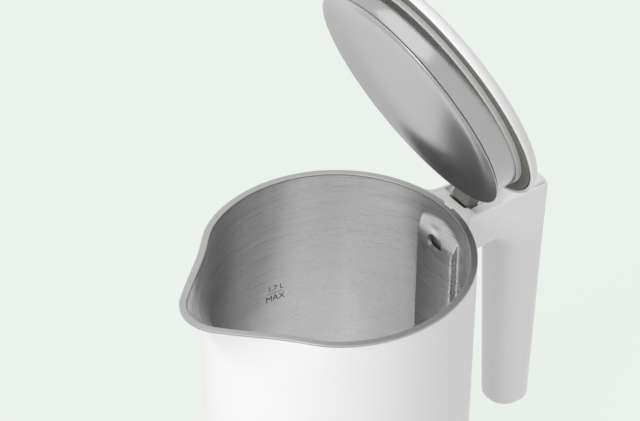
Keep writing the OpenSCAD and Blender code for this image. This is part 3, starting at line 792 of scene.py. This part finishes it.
def handleRings():
    rings = []
    flare, armR, edgeR = handle["flare"], handle["armR"], handle["edgeR"]
    places = [60] + [70 + 0.35 * i for i in range(8)] + [73 + 0.8 * i for i in range(9)]
    for x in places + [83, 87, 91.5, 95.5]:
        u = min(max(x - handle["flareX"], 0), flare)
        swell = flare - math.sqrt(max(flare * flare - (flare - u) ** 2, 0))
        share = min(1, max(0, (x - handle["narrowX"]) / handle["narrowSpan"]))
        half = handle["root"] - (handle["root"] - handle["arm"]) * share + swell
        rings.append(handleRing((x, -handle["drop"] - swell), (x, 0), half, armR, edgeR))
    cx, cz, r = handle["cornerX"], -handle["drop"] - handle["cornerR"], handle["cornerR"]
    topTurn = math.degrees(math.atan2(handle["rear"] - cx, -cz))
    turns = [topTurn * i / 7 for i in range(1, 8)] + [topTurn + (90 - topTurn) * i / 8 for i in range(1, 9)]
    for turn in turns:
        a = math.radians(turn)
        reach = -cz / math.cos(a) if turn <= topTurn + 0.01 else (handle["rear"] - cx) / math.sin(a)
        outer = (cx + reach * math.sin(a), cz + reach * math.cos(a))
        inner = (cx + r * math.sin(a), cz + r * math.cos(a))
        late = max(0, (turn - topTurn) / (90 - topTurn))
        half = handle["arm"] + (handle["gripHalf"] - handle["arm"]) * late
        frontR = armR + (handle["frontR"] - armR) * late
        rings.append(handleRing(inner, outer, half, frontR, edgeR + (handle["backR"] - edgeR) * late))
    endZ, endR = handle["endZ"], handle["endR"]
    for z in evenly(cz - 3, endZ + endR, 14):
        rings.append(gripRing(z, 0))
    for turn in (15, 30, 45, 60, 75, 90):
        a = math.radians(turn)
        rings.append(gripRing(endZ + endR * (1 - math.sin(a)), endR * (1 - math.cos(a))))
    return rings


# Rooms cut into the handle: front, rear, half width, lower and upper height at the rim.
handleRooms = {"deckPocket": (60, 120.2, 14.3, -3.1, 5), "neckRoom": (78.3, 114, 9, -22, 5.1),
    "buttonRoom": (119.8, 140, 13.9, -8.35, 6), "skirtRoom": (128.5, 131.0, 12.8, -13.7, -8)}


def makeHandle():
    rings = handleRings()
    across = len(rings[0])
    points = [spot for ring in rings for spot in ring]
    faces = [tuple(range(across))]
    for row in range(len(rings) - 1):
        for i in range(across):
            a, b = row * across + i, row * across + (i + 1) % across
            faces.append((a, b, b + across, a + across))
    faces.append(tuple(reversed(range((len(rings) - 1) * across, len(rings) * across))))
    skin = fromPoints("handleSkin", points, faces)
    tidyFaces()
    makeBackPanel(skin)
    roomR = vessel["bodyR"] + handle["mouthGap"]
    cutAway(skin, rod("mouthRoom", (0, 0, rimZ - 40), roomR, 100, "Z", vessel["segments"]))
    for name, (front, rear, half, low, high) in handleRooms.items():
        cutAway(skin, block(name, (front, -half, rimZ + low), (rear, half, rimZ + high)))
    finishPiece(skin, "kettle", "whiteSatin", ["handle_shell"], 32)


backPanel = {"low": -156.0, "high": -24.0, "half": 6, "thick": 2.2, "beyond": 6, "seam": 0.12, "edge": 0.3}


# Slab that follows the grip's leaning back, grown by gap.
def backSlab(name, gap):
    low, high, half, thick = backPanel["low"], backPanel["high"], backPanel["half"], backPanel["thick"]
    span = handle["endZ"] + handle["drop"] + handle["cornerR"]
    lowX = handle["rear"] + handle["lean"] * (low + handle["drop"] + handle["cornerR"]) / span
    outline = [(lowX - thick - gap, low - gap), (lowX + backPanel["beyond"], low - gap),
        (handle["rear"] + backPanel["beyond"], high + gap), (handle["rear"] - thick - gap, high + gap)]
    return slab(name, atRim(outline), -half - gap, half + gap)


# The panel that closes the grip's back is cut from the skin, so that it lies flush.
def makeBackPanel(skin):
    panel = skin.copy()
    panel.data = skin.data.copy()
    panel.name = panel.data.name = "gripPanel"
    scene.collection.objects.link(panel)
    cutAway(panel, backSlab("panelShape", 0), "INTERSECT")
    roundEdges(panel, backPanel["edge"], 2, 50)
    cutAway(skin, backSlab("panelRoom", backPanel["seam"]))
    finishPiece(panel, "kettle", "whiteSatin", ["handle_back"], 32)


deckPlate = {"front": 73.5, "step": 82.4, "rear": 119.6, "half": 14.2, "under": -2.9, "edge": 0.25,
    "slotHalf": 7.6, "slotFront": 80, "slotRear": 104.5, "slotR": 1.6, "seam": (82.25, 82.5),
    "seamInner": 7, "seamOuter": 15, "seamDepth": 1.0, "mouthGap": 0.05, "tabHalf": 3.3, "tabRear": 80}


def makeDeck():
    front, step, rear, under = deckPlate["front"], deckPlate["step"], deckPlate["rear"], deckPlate["under"]
    outline = [(front, 0), (step, 0), (step + 0.1, -1.9), (100, -1.1), (113, 0), (rear, 0), (rear, under),
        (front, under)]
    deck = slab("armDeck", atRim(outline), -deckPlate["half"], deckPlate["half"])
    roundEdges(deck, deckPlate["edge"], 2, 30)
    half = deckPlate["slotHalf"]
    slot = block("slot", (deckPlate["slotFront"], -half, rimZ - 6), (deckPlate["slotRear"], half, rimZ + 3))
    roundEdges(slot, deckPlate["slotR"], 5, 30)
    cutAway(deck, slot)
    seamFront, seamRear = deckPlate["seam"]
    inner, outer, depth = deckPlate["seamInner"], deckPlate["seamOuter"], deckPlate["seamDepth"]
    for low, high in ((-outer, -inner), (inner, outer)):
        cutAway(deck, block("seam", (seamFront, low, rimZ - depth), (seamRear, high, rimZ + depth)))
    disc = rod("disc", (0, 0, rimZ), vessel["bodyR"] + deckPlate["mouthGap"], 20, "Z", 360)
    half = deckPlate["tabHalf"]
    cutAway(disc, block("tab", (front, -half, rimZ - 30), (deckPlate["tabRear"], half, rimZ + 30)))
    cutAway(deck, disc)
    finishPiece(deck, "kettle", "whiteSatin", ["arm_deck"], 30)


push = {"half": 13.6, "edge": 0.9, "cup": (124.5, 0, rimZ - 3.45), "cupR": 3.4, "cupDepth": 4.5,
    "spring": (124.5, 0, rimZ - 5.1), "springR": 2.6, "springDepth": 3.0, "skirtHalf": 12.4,
    "skirtLow": -10.9, "skirtTop": -5.2, "skirtFront": 128.9, "skirtRear": 130.6}


def makeButton():
    outline = [(120, -2.4), (120, -0.3), (120.4, 0.05), (123, 0.7), (127, 2.0), (129.6, 2.8), (131.0, 2.9),
        (131.9, 2.4), (132.3, 1.2), (132.3, -5.5), (130.5, -5.5), (130.3, -2.4)]
    button = slab("releaseButton", atRim(outline), -push["half"], push["half"])
    takeUp(button)
    bpy.ops.object.mode_set(mode="EDIT")
    bpy.ops.mesh.select_mode(type="EDGE")
    bpy.ops.mesh.select_all(action="DESELECT")
    bpy.ops.object.mode_set(mode="OBJECT")
    verts = button.data.vertices
    for edge in button.data.edges:
        a, b = (verts[i].co / mm for i in edge.vertices)
        edge.select = abs(a.y - b.y) < 0.1 and min(a.z, b.z) > rimZ - 1
    bpy.ops.object.mode_set(mode="EDIT")
    bpy.ops.mesh.bevel(offset=push["edge"] * mm, segments=4, affect="EDGES")
    bpy.ops.object.mode_set(mode="OBJECT")
    cutAway(button, rod("springCup", push["cup"], push["cupR"], push["cupDepth"], "Z"), "UNION")
    cutAway(button, rod("springRoom", push["spring"], push["springR"], push["springDepth"], "Z"))
    half = push["skirtHalf"]
    skirt = block("skirt", (push["skirtFront"], -half, rimZ + push["skirtLow"]),
        (push["skirtRear"], half, rimZ + push["skirtTop"]))
    cutAway(button, skirt, "UNION")
    finishPiece(button, "button", "whiteSatin", ["release_button"], 32)


makeHandle()
makeDeck()
makeButton()
print("handle made")


nodeFinishes = {
    "whitePlastic": ["base_shell", "base_plate", "bottom_cover", "switch_lever"],
    "rubber": ["base_feet", "cord_gland"],
    "darkPlastic": ["base_connector", "thermal_control", "kettle_connector", "switch_housing", "lid_latch"],
    "plainSteel": ["base_screws", "bottom_screws", "switch_pin", "switch_spring", "handle_screws",
        "hinge_pin", "hinge_spring", "button_spring", "lid_screws"],
    "brass": ["base_contacts", "element_terminals", "bimetal_disc", "connector_pins"],
    "castAluminium": ["heating_plate", "heating_element", "steam_duct"],
    # The steam collar's near-black finish is painted shade for the inside of the steam hole.
    "silicone": ["steam_collar"],
    "lampPlastic": ["indicator_lamp"]}
for finish, names in nodeFinishes.items():
    for name in names:
        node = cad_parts[name]
        node.data.materials.clear()
        node.data.materials.append(finishes[finish])
print("frame nodes finished")


studio = {"background": (0.8308, 0.8879, 0.8308), "mirrored": 0.86, "world": 0.63, "floorSize": 12.0,
    "floorZ": -0.0005, "glow": 1.02, "glowShare": 0.88, "paper": 0.8}
cameraView = {"location": (-0.5210, -0.7417, 0.9645), "tilt": 52.226, "turn": -34.5, "lens": 122.625,
    "sensor": 36}


def makeCamera():
    data = bpy.data.cameras.new("studioCamera")
    data.lens = cameraView["lens"]
    data.sensor_width = cameraView["sensor"]
    data.clip_start = 0.05
    camera = bpy.data.objects.new("studioCamera", data)
    camera.location = cameraView["location"]
    camera.rotation_euler = (math.radians(cameraView["tilt"]), 0, math.radians(cameraView["turn"]))
    scene.collection.objects.link(camera)
    scene.camera = camera


# What the camera and shiny pieces see is the plain background tone; other rays meet a lit surface.
def seenDirectly(wire):
    path = wire.add("LightPath")
    seen = path.out("Is Camera Ray") + path.out("Is Glossy Ray") + path.out("Is Transmission Ray")
    return wire.math("MINIMUM", seen, 1.0)


# The pale background as the camera sees it, and without its tint in reflections.
def backgroundTone(wire):
    return mixColours(wire, wire.add("LightPath").out("Is Camera Ray"), shade(studio["mirrored"]),
        shade(studio["background"]))


def makeFloor():
    clearSelection()
    bpy.ops.mesh.primitive_plane_add(size=studio["floorSize"], location=(0, 0, studio["floorZ"]))
    floor = bpy.context.object
    floor.name = floor.data.name = "studioFloor"
    wire = startFinish("floorPaper")
    glow = wire.add("Emission", {}, {"Color": backgroundTone(wire), "Strength": studio["glow"]})
    paper = wire.add("BsdfDiffuse", {}, {"Color": shade(studio["paper"])})
    tone = mixShaders(wire, studio["glowShare"], paper, glow)
    wire.add("OutputMaterial", {}, {"Surface": mixShaders(wire, seenDirectly(wire), paper, tone)})
    floor.data.materials.append(finishes["floorPaper"])


def makeWorld():
    world = bpy.data.worlds.new("studioWorld")
    scene.world = world
    world.use_nodes = True
    world.node_tree.nodes.clear()
    wire = Wire(world.node_tree)
    seen = wire.add("Background", {}, {"Color": backgroundTone(wire), "Strength": 1.0})
    light = wire.add("Background", {}, {"Color": shade(1.0), "Strength": studio["world"]})
    wire.add("OutputWorld", {}, {"Surface": mixShaders(wire, seenDirectly(wire), light, seen)})


# Soft lamps: where each stands and aims, its width and height, and its power.
lamps = {
    "keyLamp": {"location": (-1.9, -0.5, 1.3), "target": (0, 0, 0.15), "width": 1.1, "height": 1.1,
        "power": 22},
    "topLamp": {"location": (-0.2, 0.2, 2.2), "target": (0, 0, 0.2), "width": 3.2, "height": 2.6,
        "power": 11.5}}


def makeLamp(name, location, target, width, height, power):
    data = bpy.data.lights.new(name, "AREA")
    data.shape = "RECTANGLE"
    data.size = width
    data.size_y = height
    data.energy = power
    lamp = bpy.data.objects.new(name, data)
    lamp.location = location
    lamp.rotation_euler = (Vector(target) - Vector(location)).to_track_quat("-Z", "Y").to_euler()
    scene.collection.objects.link(lamp)


makeCamera()
makeFloor()
makeWorld()
for lampName, lampValues in lamps.items():
    makeLamp(lampName, **lampValues)
scene.view_settings.view_transform = "Standard"
print("studio made")
